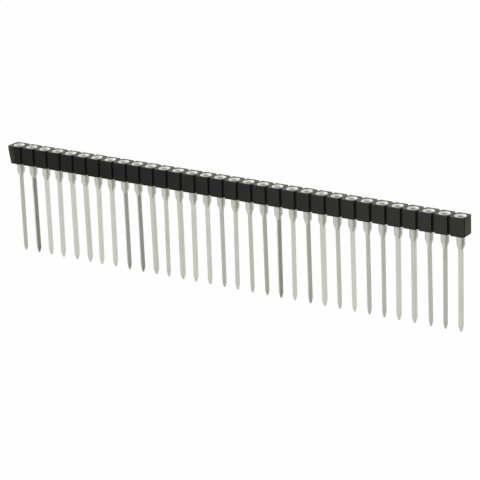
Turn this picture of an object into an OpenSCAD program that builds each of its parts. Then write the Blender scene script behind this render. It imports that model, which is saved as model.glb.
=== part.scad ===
// Single-row socket strip: a moulded break-away housing that carries turned
// contacts, each with a spring clip inside and a square post below.
// Origin: centre of the housing underside, the face that seats on a board.
// +X runs along the row and +Z points out of the socket mouths. Millimetres.

/* [Housing] */
// Spacing of the contacts along the row
pitch = 2.54; // [2.5:0.02:3]
// Front to back width of the moulding
body_w = 2.5; // [2.4:0.05:3.2]
// Height of the moulding
body_h = 2.85; // [2.6:0.05:3.2]
// Width of the break notches
notch_w = 0.5; // [0.3:0.05:0.6]
// Depth of the break notches
notch_d = 0.45; // [0.35:0.05:0.5]
// Last contact to the snapped right end
right_wall = 1.16; // [1.1:0.02:1.26]
// First contact to the snapped left end, at the top
left_wall = 1.36; // [1.2:0.01:1.4]
// How far the left end leans in at the underside
left_slant = 0.42; // [0:0.02:0.44]

/* [Turned contact] */
// Diameter of the head
head_d = 1.83; // [1.7:0.01:1.9]
// Thickness of the head
head_t = 0.56; // [0.4:0.02:0.7]
// How far the head stands above the moulding
head_rise = 0; // [0:0.01:0.15]
// Diameter of the barrel inside the moulding
barrel_d = 1.33; // [1.28:0.01:1.34]
// Diameter of the hole that the barrel is pressed into
hole_d = 1.36; // [1.36:0.01:1.4]
// Mouth of the lead-in cone
entry_d = 1.44; // [1.3:0.01:1.5]
// Depth of the lead-in cone
entry_h = 0.2; // [0.14:0.02:0.4]
// Diameter of the bore that holds the clip
bore_d = 1.07; // [1.05:0.01:1.1]

/* [Post] */
// Diameter of the round shoulder below the moulding
shoulder_d = 1.24; // [1.1:0.01:1.28]
// Length of the round shoulder
shoulder_l = 1.45; // [1:0.05:2]
// Length of the cone that runs into the post
cone_l = 0.9; // [0.5:0.05:1.2]
// Side of the square post
post_s = 0.635; // [0.6:0.005:0.65]
// Underside of the moulding to the end of the post
post_end = 14.6; // [10:0.05:18]
// Length of the pointed tip
tip_l = 0.95; // [0.6:0.05:1.5]
// Width left at the end of the tip
tip_s = 0.26; // [0.1:0.02:0.3]
// Angle about which the square posts are turned
turn_mid = 20; // [0:5:45]
// Most that a post is turned either side of it
turn_spread = 40; // [0:5:45]
// Most that a post leans along the row
lean_max = 0.6; // [0:0.1:0.8]
// Number that picks how turns and leans fall along the row
scatter = 1; // [1:1:99]

/* [Clip] */
// Opening through the clip collar
collar_id = 0.76; // [0.74:0.01:0.78]
// Height of the clip collar
collar_h = 0.65; // [0.5:0.05:0.8]
// Gap between the spring fingers
slit = 0.14; // [0.1:0.01:0.16]

/* [Hidden] */

count = 32;
plastic = [0.05, 0.05, 0.05];
tin = [0.74, 0.74, 0.71];
spring = [0.8, 0.76, 0.66];

head_clear = 0.015;                          // radial gap round the head
head_top = body_h + head_rise;
seat_z = head_top - head_t;                  // floor of the head recess
lead_h = 0.6;                                // taper that leads into the hole
ring_z = 1.0;                                // retention ring on the barrel
ring_h = 0.3;
bore_floor = 0.1;
clip_top = head_top - entry_h - 0.05;
clip_end = 0.22;                             // lower end of the fingers
finger_top = clip_top - collar_h;
post_top = -shoulder_l + 0.45;               // where the square section starts

turn_a = rands(-0.5, 0.5, count, scatter);
turn_b = rands(-0.5, 0.5, count, scatter + 100);
lean_a = rands(-1, 1, count, scatter + 200);

function contact_x(k) = (k - (count + 1) / 2) * pitch;
// two draws added, so that most posts fall near the middle angle
function turn_of(k) = turn_mid + turn_spread * (turn_a[k - 1] + turn_b[k - 1]);
function lean_of(k) = lean_max * lean_a[k - 1];
function notch_x(j) = (j - count / 2) * pitch;

// one break notch with a round floor, open to one face
module notch(side) {
  floor_y = body_w / 2 - notch_d + notch_w / 2;
  translate([-notch_w / 2, side > 0 ? floor_y : -floor_y - 2, -1])
    cube([notch_w, 2, body_h + 2]);
  translate([0, side * floor_y, -1])
    cylinder(d = notch_w, h = body_h + 2, $fn = 32);
}

// recess for the head and hole for the barrel
module contact_hole() {
  translate([0, 0, -1]) cylinder(d = hole_d, h = body_h + 2, $fn = 64);
  translate([0, 0, seat_z])
    cylinder(d = head_d + 2 * head_clear, h = 2, $fn = 64);
}

// the bar, snapped at both ends: square on the right, on a slant at the left
module bar() {
  left = contact_x(1) - left_wall;
  right = contact_x(count) + right_wall;
  translate([0, body_w / 2, 0]) rotate([90, 0, 0]) linear_extrude(body_w)
    polygon([[left + left_slant, 0], [right, 0], [right, body_h], [left, body_h]]);
}

module housing() color(plastic) difference() {
  bar();
  for (k = [1:count]) translate([contact_x(k), 0, 0]) contact_hole();
  for (j = [1:count], side = [-1, 1]) translate([notch_x(j), 0, 0]) notch(side);
}

// turned head, barrel, shoulder and cone, with a blind drilled bore
module turned() {
  r_head = head_d / 2;
  r_barrel = barrel_d / 2;
  r_hole = hole_d / 2;
  rotate_extrude($fn = 64) polygon([
    [0, -shoulder_l - cone_l],
    [post_s / 2 - 0.015, -shoulder_l - cone_l],
    [shoulder_d / 2, -shoulder_l],
    [shoulder_d / 2, 0],
    [r_barrel, lead_h],
    [r_barrel, ring_z - 0.15],
    [r_hole, ring_z],
    [r_hole, ring_z + ring_h],
    [r_barrel, ring_z + ring_h],
    [r_barrel, seat_z],
    [r_head, seat_z],
    [r_head, head_top - 0.07],
    [r_head - 0.07, head_top],
    [entry_d / 2, head_top],
    [bore_d / 2, head_top - entry_h],
    [bore_d / 2, bore_floor],
    [0, bore_floor - 0.3]]);
}

// outline of the post, seen square on
module post_outline() polygon([
  [-post_s / 2, post_top], [post_s / 2, post_top],
  [post_s / 2, -post_end + tip_l], [tip_s / 2, -post_end],
  [-tip_s / 2, -post_end], [-post_s / 2, -post_end + tip_l]]);

// square post, drawn to a blunt point on all four sides
module post() intersection() {
  rotate([90, 0, 0]) translate([0, 0, -1]) linear_extrude(2) post_outline();
  rotate([0, 0, 90]) rotate([90, 0, 0]) translate([0, 0, -1])
    linear_extrude(2) post_outline();
}

// The square is turned about its own axis and leans along the row.
module contact(k) color(tin) translate([contact_x(k), 0, 0]) {
  turned();
  translate([0, 0, -shoulder_l]) rotate([0, -lean_of(k), 0])
    translate([0, 0, shoulder_l]) rotate([0, 0, turn_of(k)]) post();
}

// The contacts are pressed in at no set angle.
module contact_01() contact(1);
module contact_02() contact(2);
module contact_03() contact(3);
module contact_04() contact(4);
module contact_05() contact(5);
module contact_06() contact(6);
module contact_07() contact(7);
module contact_08() contact(8);
module contact_09() contact(9);
module contact_10() contact(10);
module contact_11() contact(11);
module contact_12() contact(12);
module contact_13() contact(13);
module contact_14() contact(14);
module contact_15() contact(15);
module contact_16() contact(16);
module contact_17() contact(17);
module contact_18() contact(18);
module contact_19() contact(19);
module contact_20() contact(20);
module contact_21() contact(21);
module contact_22() contact(22);
module contact_23() contact(23);
module contact_24() contact(24);
module contact_25() contact(25);
module contact_26() contact(26);
module contact_27() contact(27);
module contact_28() contact(28);
module contact_29() contact(29);
module contact_30() contact(30);
module contact_31() contact(31);
module contact_32() contact(32);

// spring clip: a closed collar, pressed in the bore, with four fingers that
// close in towards a lead
module clip() difference() {
  rotate_extrude($fn = 48) polygon([
    [collar_id / 2, clip_top],
    [bore_d / 2, clip_top],
    [bore_d / 2, finger_top],
    [0.455, finger_top - 0.1],
    [0.26, clip_end],
    [0.17, clip_end],
    [collar_id / 2, finger_top]]);
  for (a = [45, 135]) rotate([0, 0, a]) translate([-1, -slit / 2, -1])
    cube([2, slit, finger_top + 0.94]);
}

module contact_clips() color(spring)
  for (k = [1:count]) translate([contact_x(k), 0, 0]) clip();

housing();
contact_01();
contact_02();
contact_03();
contact_04();
contact_05();
contact_06();
contact_07();
contact_08();
contact_09();
contact_10();
contact_11();
contact_12();
contact_13();
contact_14();
contact_15();
contact_16();
contact_17();
contact_18();
contact_19();
contact_20();
contact_21();
contact_22();
contact_23();
contact_24();
contact_25();
contact_26();
contact_27();
contact_28();
contact_29();
contact_30();
contact_31();
contact_32();
contact_clips();
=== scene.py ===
import bpy, math
from mathutils import Matrix, Vector, noise
from mathutils.geometry import delaunay_2d_cdt


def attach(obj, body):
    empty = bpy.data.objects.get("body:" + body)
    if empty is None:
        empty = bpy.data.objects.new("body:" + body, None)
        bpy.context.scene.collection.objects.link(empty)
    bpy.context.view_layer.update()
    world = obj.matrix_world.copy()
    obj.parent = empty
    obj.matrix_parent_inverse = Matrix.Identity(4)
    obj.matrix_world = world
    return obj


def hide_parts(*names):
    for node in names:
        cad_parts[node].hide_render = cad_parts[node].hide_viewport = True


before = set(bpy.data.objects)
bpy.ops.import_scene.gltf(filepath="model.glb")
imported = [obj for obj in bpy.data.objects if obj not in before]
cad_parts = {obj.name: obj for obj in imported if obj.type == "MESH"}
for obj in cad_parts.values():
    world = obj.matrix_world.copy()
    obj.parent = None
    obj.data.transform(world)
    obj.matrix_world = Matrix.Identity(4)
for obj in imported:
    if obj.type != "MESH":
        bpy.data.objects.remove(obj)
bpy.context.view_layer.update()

MM = 0.001
N = 32
PITCH = 2.54
sc = bpy.context.scene


# ---------------------------------------------------------------- camera
def make_camera():
    f_px, az, el, roll = 2429.1, 33.931, 18.6, -2.143
    cx, cy, dist = 227.979, 196.242, 0.363145
    a, e, r = map(math.radians, (az, el, roll))
    back = Vector((math.sin(a) * math.cos(e), -math.cos(a) * math.cos(e), math.sin(e)))
    fwd = -back
    right = Vector((math.cos(a), math.sin(a), 0))
    up = right.cross(fwd)
    r2 = right * math.cos(r) + up * math.sin(r)
    u2 = -right * math.sin(r) + up * math.cos(r)
    pos = -(fwd * dist + r2 * ((cx - 240) / f_px * dist) - u2 * ((cy - 240) / f_px * dist))
    cam = bpy.data.cameras.new("camera")
    ob = bpy.data.objects.new("camera", cam)
    sc.collection.objects.link(ob)
    cam.sensor_width = 36
    cam.sensor_fit = "HORIZONTAL"
    cam.lens = f_px / 480 * 36
    cam.clip_start = 0.01
    cam.clip_end = 20
    m = Matrix((r2, u2, -fwd)).transposed().to_4x4()
    m.translation = pos
    ob.matrix_world = m
    sc.camera = ob


make_camera()
sc.view_settings.view_transform = "Standard"
sc.view_settings.look = "None"


# ---------------------------------------------------------------- light
def make_world():
    """Even white studio, softly darker to the right of the camera and brighter high on the left."""
    w = bpy.data.worlds.new("studio")
    sc.world = w
    w.use_nodes = True
    nt = w.node_tree
    nt.nodes.clear()
    new = nt.nodes.new
    link = nt.links.new

    def math_node(op, *vals):
        n = new("ShaderNodeMath")
        n.operation = op
        for i, v in enumerate(vals):
            if hasattr(v, "links"):
                link(v, n.inputs[i])
            else:
                n.inputs[i].default_value = v
        return n.outputs[0]

    tc = new("ShaderNodeTexCoord")
    sep = new("ShaderNodeSeparateXYZ")
    link(tc.outputs["Generated"], sep.inputs[0])
    flat = new("ShaderNodeCombineXYZ")
    link(sep.outputs[0], flat.inputs[0])
    link(sep.outputs[1], flat.inputs[1])
    nrm = new("ShaderNodeVectorMath")
    nrm.operation = "NORMALIZE"
    link(flat.outputs[0], nrm.inputs[0])
    height = sep.outputs[2]

    def lobe(az, sharp, weight, z_mid, z_soft):
        """Bump in azimuth (0 is -Y, 90 is +X), fading out above z_mid."""
        a = math.radians(az)
        dot = new("ShaderNodeVectorMath")
        dot.operation = "DOT_PRODUCT"
        dot.inputs[1].default_value = (math.sin(a), -math.cos(a), 0)
        link(nrm.outputs[0], dot.inputs[0])
        g = math_node("EXPONENT", math_node("MULTIPLY", math_node("SUBTRACT", dot.outputs["Value"], 1.0), sharp))
        t = math_node("DIVIDE", math_node("SUBTRACT", z_mid, height), z_soft)
        f = math_node("DIVIDE", 1.0, math_node("ADD", 1.0, math_node("EXPONENT", math_node("MULTIPLY", t, -1.0))))
        return math_node("MULTIPLY", math_node("MULTIPLY", g, f), weight)

    total = 0.98
    for args in LOBES:
        total = math_node("ADD", total, lobe(*args))
    # no lamp hangs straight above
    up = math_node("SUBTRACT", math_node("MINIMUM", math_node("MAXIMUM", height, 0.6), 0.92), 0.6)
    total = math_node("SUBTRACT", total, math_node("MULTIPLY", up, 0.75))
    total = math_node("MAXIMUM", total, 0.03)
    bg = new("ShaderNodeBackground")
    link(total, bg.inputs["Strength"])
    bg.inputs["Color"].default_value = (1, 0.995, 0.975, 1)
    white = new("ShaderNodeBackground")
    white.inputs["Color"].default_value = (0.99, 0.99, 0.99, 1)
    lp = new("ShaderNodeLightPath")
    mix = new("ShaderNodeMixShader")
    link(lp.outputs["Is Camera Ray"], mix.inputs[0])
    link(bg.outputs[0], mix.inputs[1])
    link(white.outputs[0], mix.inputs[2])
    out = new("ShaderNodeOutputWorld")
    link(mix.outputs[0], out.inputs[0])


# azimuth, sharpness, weight, height where it fades, softness
LOBES = [(85, 6.5, -0.60, 0.45, 0.12), (64, 1.0, -0.28, 0.45, 0.15), (170, 3.0, -0.14, 0.3, 0.1),
         (-125, 4.0, 0.26, 0.4, 0.1), (-60, 3.0, 0.50, 0.65, 0.08), (-60, 3.0, -0.50, 0.08, 0.05),
         (-35, 6.0, -0.17, -0.05, 0.1), (-74, 10.0, -0.22, -0.05, 0.1)]
make_world()


# ---------------------------------------------------------------- materials
class Nodes:
    """Short helpers for building one material; positions are in object space, millimetres."""

    def __init__(self, name):
        self.mat = bpy.data.materials.new(name)
        self.mat.use_nodes = True
        self.nt = self.mat.node_tree
        self.bsdf = self.nt.nodes["Principled BSDF"]
        tc = self.nt.nodes.new("ShaderNodeTexCoord")
        self.mm = self.vec("SCALE", tc.outputs["Object"], None, 1000.0)
        sep = self.nt.nodes.new("ShaderNodeSeparateXYZ")
        self.link(self.mm, sep.inputs[0])
        self.x, self.y, self.z = sep.outputs

    def link(self, a, b):
        self.nt.links.new(a, b)

    def put(self, v, socket):
        if hasattr(v, "links"):
            self.link(v, socket)
        else:
            socket.default_value = v

    def math(self, op, *vals):
        n = self.nt.nodes.new("ShaderNodeMath")
        n.operation = op
        for v, s in zip(vals, n.inputs):
            self.put(v, s)
        return n.outputs[0]

    def vec(self, op, a, b=None, scale=None):
        n = self.nt.nodes.new("ShaderNodeVectorMath")
        n.operation = op
        self.put(a, n.inputs[0])
        if b is not None:
            self.put(b, n.inputs[1])
        if scale is not None:
            n.inputs["Scale"].default_value = scale
        return n.outputs[0]

    def noise(self, scale, detail=3.0, rough=0.5, stretch=None):
        n = self.nt.nodes.new("ShaderNodeTexNoise")
        n.inputs["Scale"].default_value = scale
        n.inputs["Detail"].default_value = detail
        n.inputs["Roughness"].default_value = rough
        v = self.vec("MULTIPLY", self.mm, stretch) if stretch else self.mm
        self.link(v, n.inputs["Vector"])
        return n.outputs[0]

    def span(self, v, a, b, lo, hi):
        """v from a..b mapped to lo..hi, held at the ends."""
        n = self.nt.nodes.new("ShaderNodeMapRange")
        n.interpolation_type = "SMOOTHSTEP"
        self.put(v, n.inputs["Value"])
        for s, q in zip(("From Min", "From Max", "To Min", "To Max"), (a, b, lo, hi)):
            n.inputs[s].default_value = q
        return n.outputs[0]

    def mix(self, f, a, b):
        n = self.nt.nodes.new("ShaderNodeMix")
        n.data_type = "RGBA"
        self.put(f, n.inputs[0])
        for v, s in ((a, n.inputs[6]), (b, n.inputs[7])):
            self.put((*v, 1) if isinstance(v, tuple) else v, s)
        return n.outputs[2]

    def bump(self, height, strength, distance):
        n = self.nt.nodes.new("ShaderNodeBump")
        n.inputs["Strength"].default_value = strength
        n.inputs["Distance"].default_value = distance * MM
        self.link(height, n.inputs["Height"])
        self.link(n.outputs[0], self.bsdf.inputs["Normal"])

    def set(self, **kw):
        for k, v in kw.items():
            self.put(v, self.bsdf.inputs[k.replace("_", " ")])


def plastic():
    """Black glass-filled moulding, paler and rougher where it was snapped; on the left break, painted light on the
    ridges and painted shade in the gaps between them.
    """
    m = Nodes("black_moulding")
    # how far inside the snapped zone: right end, and left end that leans with height
    ay = m.math("ABSOLUTE", m.y)
    right = m.math("MULTIPLY", m.span(m.x, X_R_END - 0.14, X_R_END - 0.09, 0.0, 1.0), m.span(ay, 0.80, 0.86, 1.0, 0.0))
    right = m.math("MULTIPLY", right, m.span(m.y, -1.0, 0.9, 0.6, 1.0))
    # u runs from the left end, which leans with height; the paler streaks follow its ridges as painted light on them,
    # and the dark gaps between are painted shade
    ragged = m.math("MULTIPLY", m.math("SUBTRACT", m.noise(2.2, 4.0, 0.65, (1.0, 1.0, 0.45)), 0.5), 1.3)
    lean = m.math("MULTIPLY", m.math("POWER", m.math("MAXIMUM", m.math("SUBTRACT", 1.0, m.math("DIVIDE", m.z, 2.85)), 0.0), 1.35), 0.42)
    u = m.math("DIVIDE", m.math("SUBTRACT", m.math("ADD", m.x, 40.73), lean), m.math("SUBTRACT", 1.0, lean))
    wave = m.math("ADD", m.math("MULTIPLY", u, 15.0), m.math("ADD", m.math("MULTIPLY", m.z, 0.6), m.math("MULTIPLY", ragged, 1.2)))
    frayed = m.math("MULTIPLY", m.math("SUBTRACT", m.noise(5.5, 6.0, 0.75, (1.0, 1.0, 0.4)), 0.5), 7.0)
    # painted ridge shading: painted light on each ridge of the left break and painted shade in the gaps between them
    ridge = m.span(m.math("SINE", m.math("ADD", m.math("ADD", wave, frayed), 3.9)), 0.9, -1.0, 0.0, 1.0)
    ridge = m.math("MULTIPLY", ridge, m.span(m.noise(1.9, 5.0, 0.7, (1.0, 1.0, 0.9)), 0.36, 0.58, 0.15, 1.15))
    left = m.math("MULTIPLY", m.span(m.math("ADD", u, ragged), 1.25, 0.90, 0.0, 0.95), ridge)
    torn = m.math("MAXIMUM", right, left)
    blotch = m.span(m.noise(2.6, 4.0, 0.6, (1.0, 1.0, 0.55)), 0.36, 0.66, 0.0, 1.0)
    streak = m.span(m.noise(3.0, 3.0, 0.55, (1.0, 1.0, 0.16)), 0.42, 0.58, 0.0, 1.0)
    # paler torn plastic at both ends; on the left end this also carries the painted ridge light and shade
    pale_and_ridge_shading = m.math("MAXIMUM", m.math("MULTIPLY", right, m.math("ADD", m.math("MULTIPLY", blotch, 0.45), m.math("MULTIPLY", streak, 0.55))),
                  m.math("MULTIPLY", left, m.math("ADD", m.math("MULTIPLY", blotch, 0.5), 0.5)))
    cloud = m.span(m.noise(0.35, 3.0, 0.55), 0.35, 0.65, 0.0, 1.0)
    base = m.mix(cloud, (0.0018, 0.0018, 0.0016), (0.0040, 0.0039, 0.0035))
    # the black is a little greyer towards the right end
    base = m.mix(m.span(m.x, -35.0, 60.0, 0.0, 0.66), base, (0.034, 0.0338, 0.0325))
    # the walls of the break notches are a paler grey than the faces
    near = m.math("ABSOLUTE", m.math("SUBTRACT", m.math("FRACT", m.math("ADD", m.math("DIVIDE", m.x, PITCH), 0.5)), 0.5))
    notch = m.math("MULTIPLY", m.span(near, 0.100, 0.112, 1.0, 0.0),
                   m.math("MULTIPLY", m.span(ay, 1.20, 1.238, 1.0, 0.0), m.span(ay, 0.76, 0.80, 0.0, 1.0)))
    base = m.mix(notch, base, (0.0105, 0.0103, 0.0094))
    # torn colour mixed in: real paleness of the break, plus painted ridge light and shade at the left end
    m.set(Base_Color=m.mix(pale_and_ridge_shading, base, TORN))
    grain = m.noise(22.0, 4.0, 0.6)
    rough = m.math("ADD", m.span(grain, 0.3, 0.7, 0.31, 0.41), m.math("MULTIPLY", torn, 0.14))
    m.set(Roughness=rough, Specular_IOR_Level=0.23)
    fine = m.math("ADD", m.math("MULTIPLY", grain, 0.35), m.math("MULTIPLY", m.math("MULTIPLY", torn, m.noise(9.0, 5.0, 0.65)), 2.2))
    m.bump(fine, 0.35, 0.03)
    return m.mat


def turned():
    """Tin plate over turned brass, with faint tool rings."""
    m = Nodes("turned_tin_plate")
    lx = m.math("SUBTRACT", m.math("FRACT", m.math("ADD", m.math("DIVIDE", m.x, PITCH), 0.5 + N / 2 - 0.5)), 0.5)
    lx = m.math("MULTIPLY", lx, PITCH)
    r = m.math("SQRT", m.math("ADD", m.math("MULTIPLY", lx, lx), m.math("MULTIPLY", m.y, m.y)))
    rings = m.math("SINE", m.math("MULTIPLY", m.math("ADD", r, m.z), 2 * math.pi / 0.045))
    cloud = m.noise(1.1, 4.0, 0.6)
    lot = m.noise(0.33, 1.0, 0.4, (1.0, 0.2, 0.1))
    tone = m.span(m.math("ADD", m.math("MULTIPLY", cloud, 0.55), m.math("MULTIPLY", lot, 0.45)), 0.36, 0.64, 0.0, 1.0)
    m.set(Base_Color=m.mix(tone, TIN_LO, TIN_HI), Metallic=1.0)
    dull = m.span(m.z, 0.1, -0.1, 0.0, 0.20)             # the shoulder has the duller plate
    m.set(Roughness=m.math("ADD", dull, m.span(m.noise(3.2, 4.0, 0.6), 0.3, 0.7, TIN_R[0], TIN_R[1])))
    m.bump(m.math("ADD", m.math("MULTIPLY", rings, 0.22), m.noise(14.0, 4.0, 0.6)), 0.12, 0.012)
    return m.mat


def drawn():
    """Tin plate over drawn square wire, with faint lines along the post."""
    m = Nodes("drawn_tin_plate")
    line = m.noise(7.0, 3.0, 0.6, (1.0, 1.0, 0.05))
    cloud = m.noise(0.7, 4.0, 0.6, (1.0, 1.0, 0.45))
    lot = m.noise(0.33, 1.0, 0.4, (1.0, 0.2, 0.04))
    tone = m.span(m.math("ADD", m.math("MULTIPLY", cloud, 0.4), m.math("ADD", m.math("MULTIPLY", lot, 0.35), m.math("MULTIPLY", line, 0.25))),
                  0.37, 0.63, 0.0, 1.0)
    m.set(Base_Color=m.mix(tone, POST_LO, POST_HI), Metallic=1.0)
    m.set(Roughness=m.span(m.math("ADD", m.math("MULTIPLY", line, 0.5), m.math("MULTIPLY", m.noise(2.1, 4.0, 0.6), 0.5)), 0.34, 0.66, POST_R[0], POST_R[1]))
    m.bump(m.math("ADD", m.math("MULTIPLY", line, 0.6), m.math("MULTIPLY", m.noise(11.0, 4.0, 0.6), 0.6)), 0.14, 0.012)
    return m.mat


def spring():
    """Plated spring strip of the clip, slightly warmer and duller than the sleeve."""
    m = Nodes("spring_clip_plate")
    tone = m.span(m.noise(1.9, 4.0, 0.6), 0.35, 0.65, 0.0, 1.0)
    m.set(Base_Color=m.mix(tone, (0.50, 0.47, 0.38), (0.64, 0.61, 0.52)), Metallic=1.0)
    m.set(Roughness=m.span(m.noise(6.0, 3.0, 0.6), 0.3, 0.7, 0.34, 0.48))
    m.bump(m.noise(16.0, 4.0, 0.6), 0.15, 0.01)
    return m.mat


X_R_END = 40.53
TORN = (0.062, 0.067, 0.038)
TIN_LO, TIN_HI, TIN_R = (0.672, 0.692, 0.615), (0.755, 0.775, 0.705), (0.22, 0.32)
POST_LO, POST_HI, POST_R = (0.718, 0.739, 0.654), (0.801, 0.823, 0.743), (0.26, 0.36)
M_PLASTIC, M_TURNED, M_DRAWN, M_SPRING = plastic(), turned(), drawn(), spring()

# ---------------------------------------------------------------- sizes, mm
W, H = 2.5, 2.85
X_L, X_R, SLANT = -40.73, 40.53, 0.42
HEAD_R, SEAT, HOLE_R, RECESS_R = 0.915, 2.29, 0.68, 0.93
SHOULDER_R, SHOULDER_L, CONE_L = 0.62, 1.45, 0.9
POST, POST_END, TIP_L, TIP_S = 0.635, 14.6, 0.95, 0.26
NOTCH_W, NOTCH_D = 0.5, 0.45


def contact_x(k):
    return (k - (N + 1) / 2) * PITCH


def notch_x(j):
    return (j - N / 2) * PITCH


def post_pose(k):
    """Turn of the square and lean of the post, degrees, read from the end face of the CAD contact."""
    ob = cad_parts["contact_%02d" % k]
    p = [ob.matrix_world @ v.co / MM for v in ob.data.vertices]
    low = min(v.z for v in p)
    end = sorted({(round(v.x, 3), round(v.y, 3)) for v in p if v.z < low + 0.05})
    cx, cy = (sum(q[i] for q in end) / len(end) for i in (0, 1))
    x, y = end[-1]
    return (math.degrees(math.atan2(y - cy, x - cx)) - 45) % 90, math.degrees(math.atan2(cx - contact_x(k), -low - SHOULDER_L))


def new_object(name, verts, faces, mats, face_mat=None, sharp=None):
    me = bpy.data.meshes.new(name)
    me.from_pydata(verts, [], faces)
    me.validate()
    for m in mats:
        me.materials.append(m)
    if face_mat is not None:
        me.polygons.foreach_set("material_index", face_mat)
    me.polygons.foreach_set("use_smooth", [True] * len(me.polygons))
    if sharp:
        me.set_sharp_from_angle(angle=math.radians(sharp))
    me.update()
    ob = bpy.data.objects.new(name, me)
    sc.collection.objects.link(ob)
    return ob


# ---------------------------------------------------------------- contacts
def angles():
    """Directions round one quarter of the square, dense at the corner."""
    d = [1.2, 2.5, 3.8, 5.0, 7.0, 11.0, 17.0, 25.0, 34.0]
    q = [0.0] + [45 - x for x in d][::-1] + [45.0] + [45 + x for x in d]
    q.sort()
    return [math.radians(a + 90 * i) for i in range(4) for a in q]


def square_r(a, h, rc):
    """Distance from the centre to a rounded square of half side h."""
    a = abs((a + math.pi / 4) % (math.pi / 2) - math.pi / 4)
    rc = min(rc, h * 0.8)
    if math.tan(a) * h <= h - rc:
        return h / math.cos(a)
    c = math.sqrt(2) * (h - rc)
    d = math.pi / 4 - a
    return c * math.cos(d) + math.sqrt(max(rc * rc - (c * math.sin(d)) ** 2, 0))


def turned_profile():
    """Half section of the turned part, from the floor of the bore outwards and down."""
    t = H
    p = [(0.535, 0.1), (0.535, t - 0.212), (0.541, t - 0.196), (0.560, t - 0.172), (0.700, t - 0.024),
         (0.712, t - 0.008), (0.728, t), (0.745, t), (0.775, t), (0.808, t)]
    r = 0.10
    for i in range(1, 6):
        a = math.radians(90 - 18 * i)
        p.append((HEAD_R - r + r * math.cos(a), t - r + r * math.sin(a)))
    p += [(HEAD_R, SEAT + 0.02), (HEAD_R - 0.02, SEAT), (0.665, SEAT), (0.665, 1.30), (0.68, 1.30), (0.68, 1.0),
          (0.665, 0.85), (0.665, 0.6), (0.6425, 0.3), (SHOULDER_R, 0.0), (SHOULDER_R, -0.05), (SHOULDER_R, -0.5),
          (SHOULDER_R, -1.0), (SHOULDER_R, -SHOULDER_L + 0.05), (SHOULDER_R - 0.005, -SHOULDER_L + 0.015),
          (SHOULDER_R - 0.018, -SHOULDER_L - 0.01)]
    return p


QUARTERS = angles()


def contact_mesh(k, turn, lean):
    x0 = contact_x(k)
    ph = [a + math.radians(turn) for a in QUARTERS]
    cs = [(math.cos(a), math.sin(a)) for a in ph]
    rings = []                       # (z, radii, x shift)
    for r, z in turned_profile():
        rings.append((z, [r] * len(ph), 0.0))
    n_turned = len(rings)
    tan = math.tan(math.radians(lean))
    # one contact's drawing is never quite like the next
    dz = 0.02 * noise.noise(Vector((k * 3.7, 1.3, 0)))
    z = -SHOULDER_L - 0.03
    zs = []
    while z > -SHOULDER_L - CONE_L - 0.06:
        zs.append(z)
        z -= 0.036
    zs += [-2.6, -3.2, -4.2, -5.4, -6.6, -7.8, -9.0, -10.2, -11.4, -12.4, -13.1]
    tip0 = -POST_END + TIP_L
    zs += [tip0 + 0.12, tip0 + 0.04] + [tip0 - TIP_L * i / 12 for i in range(1, 12)] + [-POST_END + 0.02, -POST_END]
    for z in zs:
        cone = SHOULDER_R - (SHOULDER_R - POST / 2 + 0.015) * (-z - SHOULDER_L + dz) / CONE_L
        h, rc = POST / 2, 0.045
        if z < tip0:
            t = (tip0 - z) / TIP_L
            h = TIP_S / 2 + (POST / 2 - TIP_S / 2) * (1 - t ** 1.3)
            if z <= -POST_END + 0.001:
                h -= 0.025
            rc = 0.045 + 0.05 * t
        rad = [max(cone, square_r(a, h, rc)) for a in QUARTERS]
        s = min(1.0, max(0.0, (-z - SHOULDER_L) / CONE_L))
        bow = 0.010 * math.sin(math.pi * min(1, max(0, (-z - 2.4) / 12.2))) * noise.noise(Vector((k * 1.9, 7.1, 0)))
        rings.append((z, rad, (-z - SHOULDER_L) * tan * s * s * (3 - 2 * s) + bow))
    verts = [(x0 * MM, 0, -0.15 * MM)]
    n = len(ph)
    for z, rad, sx in rings:
        for (c, s_), r in zip(cs, rad):
            verts.append(((x0 + sx + r * c) * MM, r * s_ * MM, z * MM))
    last = len(verts)
    verts.append(((x0 + rings[-1][2]) * MM, 0, -POST_END * MM))
    faces, mat = [], []
    for i in range(n):
        faces.append((0, 1 + i, 1 + (i + 1) % n))
        mat.append(0)
    for q in range(len(rings) - 1):
        a, b = 1 + q * n, 1 + (q + 1) * n
        for i in range(n):
            j = (i + 1) % n
            faces.append((a + i, b + i, b + j, a + j))
            mat.append(0 if q < n_turned else 1)
    a = 1 + (len(rings) - 1) * n
    for i in range(n):
        faces.append((a + i, last, a + (i + 1) % n))
        mat.append(1)
    ob = new_object("contact_%02d_plated" % k, verts, faces, [M_TURNED, M_DRAWN], mat, 32)
    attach(ob, "root")
    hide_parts("contact_%02d" % k)
    return ob


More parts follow.
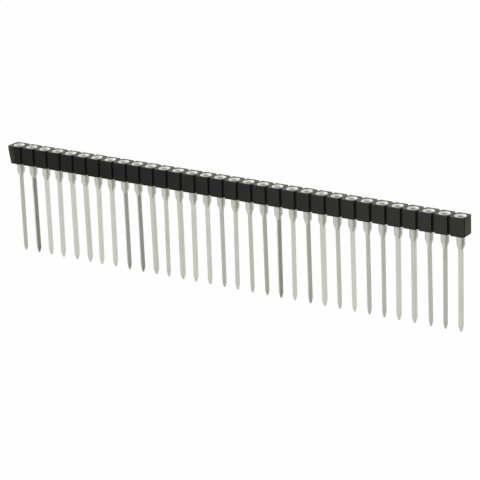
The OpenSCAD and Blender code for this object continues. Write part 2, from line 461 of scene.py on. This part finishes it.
# ---------------------------------------------------------------- housing
def side_outline(side):
    """Points along one long face from left to right, outward normal sign side (-1 front, +1 back)."""
    pts = []
    y0 = side * W / 2
    f = 0.03                                        # rounded mouth of a notch

    def flat(xa, xb, n):
        for i in range(n + 1):
            pts.append((xa + (xb - xa) * i / n, y0))

    def notch(xc, x_stop=None):
        r = NOTCH_W / 2
        yc = y0 - side * (NOTCH_D - r)
        seq = []
        for i in range(4):                          # mouth, left
            a = math.radians(90 * i / 3)
            seq.append((xc - r - f + f * math.sin(a), y0 - side * (f - f * math.cos(a))))
        seq.append((xc - r, y0 - side * 0.1))
        for i in range(0, 15):
            a = math.pi - math.pi * i / 14
            seq.append((xc + r * math.cos(a), yc - side * r * math.sin(a)))
        seq.append((xc + r, y0 - side * 0.1))
        for i in range(3, -1, -1):                  # mouth, right
            a = math.radians(90 * i / 3)
            seq.append((xc + r + f - f * math.sin(a), y0 - side * (f - f * math.cos(a))))
        if x_stop is not None:
            keep = [p for p in seq if p[0] < x_stop - 0.012]
            c = (x_stop - xc)
            keep.append((x_stop, yc - side * math.sqrt(max(r * r - c * c, 0))))
            seq = keep
        pts.extend(seq)

    for i in range(27):                             # the torn corner needs more points
        pts.append((X_L + 0.78 * i / 26, y0))
    left = X_L + 0.81
    for j in range(1, N):
        flat(left, notch_x(j) - NOTCH_W / 2 - f - 0.02, 7)
        notch(notch_x(j))
        left = notch_x(j) + NOTCH_W / 2 + f + 0.02
    flat(left, notch_x(N) - NOTCH_W / 2 - f - 0.02, 7)
    notch(notch_x(N), X_R)
    return pts


def outline():
    """Closed outline seen from above, anticlockwise, starting at the front left corner."""
    front = side_outline(-1)
    back = side_outline(1)[::-1]
    n = 34
    ya, yb = front[-1][1], back[0][1]
    right = [(X_R, ya + (yb - ya) * i / n) for i in range(1, n)]
    ya, yb = back[-1][1], front[0][1]
    left = [(X_L, ya + (yb - ya) * i / n) for i in range(1, n)]
    return front + right + back + left


def smooth01(t):
    t = min(1.0, max(0.0, t))
    return t * t * (3 - 2 * t)


def fbm(x, y, z, octaves=4):
    return noise.fractal(Vector((x, y, z)), 1.0, 2.0, octaves)


def shape(x, y, z):
    """Slant and torn surface at the two snapped ends, and faint sink over each recess."""
    # right end: snapped nearly square, with ridges that run up the face
    w = smooth01((x - (X_R - 0.10)) / 0.10)
    if w > 0:
        ridge = 0.030 * (0.5 + 0.5 * math.sin(y * 9.0 + 1.5 * noise.noise(Vector((y * 2, z * 0.7, 3.1)))))
        rough = 0.050 * (0.5 + 0.5 * fbm(y * 5, z * 2.2, 5.0)) + ridge
        x -= w * min(0.10, max(0.0, rough))
    # left end: leans in at the underside, with a torn front corner
    u = x - X_L
    if u < 1.0:
        x += SLANT * (1 - z / H) ** 1.35 * (1 - u)
        s = smooth01(1 - u / 0.06)
        x += s * min(0.10, max(0.0, 0.022 * (1 + fbm(y * 3.5, z * 3.0, 9.0)) + 0.018 * fbm(y * 14, z * 12, 2.0)))
        c = smooth01(1 - u / 0.75)
        if c > 0 and abs(y) > 0.7:
            tear = 0.045 + 0.075 * smooth01(1 - u / 0.25) + 0.040 * math.sin(u * 15.0 + z * 0.6 + 3.9)
            tear = c * (tear + 0.030 * fbm(u * 6, z * 1.3, 4.0 if y < 0 else 8.0) + 0.014 * fbm(u * 18, z * 9, 1.0))
            y -= math.copysign(max(0.0, tear) * smooth01((abs(y) - 0.7) / 0.5), y)
    # faces draw in slightly where the wall behind them is thin
    lx = (x / PITCH) % 1.0 - 0.5
    y -= math.copysign(0.006 * math.exp(-(lx * PITCH / 0.45) ** 2) * smooth01((abs(y) - 1.0) / 0.2), y)
    return x, y, z


def housing_mesh():
    R = 0.030
    out = outline()
    n = len(out)
    nrm = []
    for i in range(n):
        (xa, ya), (xb, yb), (xc, yc) = out[i - 1], out[i], out[(i + 1) % n]
        v = []
        for dx, dy in ((xb - xa, yb - ya), (xc - xb, yc - yb)):
            d = math.hypot(dx, dy) or 1.0
            v.append((dy / d, -dx / d))
        sx, sy = v[0][0] + v[1][0], v[0][1] + v[1][1]
        d2 = max(0.35, (sx * sx + sy * sy) / 2)
        nrm.append((sx / d2, sy / d2))
    lev = []                                         # (offset, z)
    for a in (90, 60, 30, 0):
        lev.append((R * (1 - math.cos(math.radians(a))), R * (1 - math.sin(math.radians(a)))))
    zm = [R + 0.03] + [0.12 + (H - 0.24) * i / 17 for i in range(18)] + [H - R - 0.03]
    lev += [(0.0, z) for z in zm]
    for a in (0, 30, 60, 90):
        lev.append((R * (1 - math.cos(math.radians(a))), H - R * (1 - math.sin(math.radians(a)))))
    verts, faces = [], []

    def add(x, y, z, warp=True):
        if warp:
            x, y, z = shape(x, y, z)
        verts.append((x, y, z))
        return len(verts) - 1

    grid = []
    for o, z in lev:
        grid.append([add(p[0] - m[0] * o, p[1] - m[1] * o, z) for p, m in zip(out, nrm)])
    for a, b in zip(grid, grid[1:]):
        for i in range(n):
            j = (i + 1) % n
            faces.append((a[i], a[j], b[j], b[i]))
    # support rings just inside the rounded edges keep the flat faces flat
    caps = []
    for g, z in ((grid[-1], H), (grid[0], 0.0)):
        ring = []
        for i in range(n):
            p = verts[g[i]]
            ring.append(len(verts))
            verts.append((p[0] - nrm[i][0] * 0.02, p[1] - nrm[i][1] * 0.02, z))
        for i in range(n):
            j = (i + 1) % n
            faces.append((g[i], g[j], ring[j], ring[i]) if z > 0 else (g[j], g[i], ring[i], ring[j]))
        caps.append(ring)
    # holes
    S = 64
    circ = [(math.cos(2 * math.pi * i / S), math.sin(2 * math.pi * i / S)) for i in range(S)]
    prof = [(RECESS_R + 0.045, H), (RECESS_R + 0.022, H), (RECESS_R + 0.008, H - 0.006), (RECESS_R, H - 0.022),
            (RECESS_R, SEAT), (HOLE_R, SEAT), (HOLE_R, 0.06), (HOLE_R + 0.012, 0.018), (HOLE_R + 0.04, 0.0),
            (HOLE_R + 0.06, 0.0)]
    tops, bots = [], []
    for k in range(1, N + 1):
        rings = [[add(contact_x(k) + r * c, r * s, z, False) for c, s in circ] for r, z in prof]
        for a, b in zip(rings, rings[1:]):
            for i in range(S):
                j = (i + 1) % S
                faces.append((a[i], a[j], b[j], b[i]))
        tops.append(rings[0])
        bots.append(rings[-1])
    for ring, holes, up in ((caps[0], tops, True), (caps[1], bots, False)):
        idx = ring + [v for h in holes for v in h]
        co = [Vector((verts[v][0], verts[v][1])) for v in idx]
        m = len(ring)
        edges = [(i, (i + 1) % m) for i in range(m)]
        for h in range(len(holes)):
            b = m + h * S
            edges += [(b + i, b + (i + 1) % S) for i in range(S)]
        vo, eo, fo, ov, oe, of_ = delaunay_2d_cdt(co, edges, [], 1, 1e-7)
        back = {}
        for i, src in enumerate(ov):
            if src:
                back[i] = idx[src[0]]
        for f in fo:
            if any(v not in back for v in f):
                continue
            c = (vo[f[0]] + vo[f[1]] + vo[f[2]]) / 3
            lx = (c[0] / PITCH) % 1.0 - 0.5
            rr = (RECESS_R + 0.044) if up else (HOLE_R + 0.059)
            if math.hypot(lx * PITCH, c[1]) < rr and abs(c[0]) < 40.4:
                continue
            t = [back[v] for v in f]
            area = (vo[f[1]] - vo[f[0]]).cross(vo[f[2]] - vo[f[0]])
            if (area > 0) != up:
                t.reverse()
            faces.append(tuple(t))
    verts = [(x * MM, y * MM, z * MM) for x, y, z in verts]
    ob = new_object("housing_moulding", verts, faces, [M_PLASTIC], None, 38)
    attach(ob, "root")
    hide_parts("housing")
    return ob


housing_mesh()
for k in range(1, N + 1):
    contact_mesh(k, *post_pose(k))
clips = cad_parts["contact_clips"]
clips.data.materials.clear()
clips.data.materials.append(M_SPRING)


# ---------------------------------------------------------------- floor
def make_floor():
    me = bpy.data.meshes.new("floor")
    me.from_pydata([(-4, -4, 0), (4, -4, 0), (4, 4, 0), (-4, 4, 0)], [], [(0, 1, 2, 3)])
    ob = bpy.data.objects.new("floor", me)
    ob.location = (0, 0, -0.06)
    sc.collection.objects.link(ob)
    m = bpy.data.materials.new("floor")
    m.use_nodes = True
    b = m.node_tree.nodes["Principled BSDF"]
    b.inputs["Base Color"].default_value = (0, 0, 0, 1)
    b.inputs["Specular IOR Level"].default_value = 0
    b.inputs["Emission Color"].default_value = (0.99, 0.99, 0.99, 1)
    b.inputs["Emission Strength"].default_value = 1.0
    # seen from below, the floor is clear
    nt = m.node_tree
    side = nt.nodes.new("ShaderNodeNewGeometry")
    clear = nt.nodes.new("ShaderNodeBsdfTransparent")
    mix = nt.nodes.new("ShaderNodeMixShader")
    nt.links.new(side.outputs["Backfacing"], mix.inputs[0])
    nt.links.new(b.outputs[0], mix.inputs[1])
    nt.links.new(clear.outputs[0], mix.inputs[2])
    nt.links.new(mix.outputs[0], nt.nodes["Material Output"].inputs[0])
    me.materials.append(m)
    ob.visible_glossy = False


make_floor()
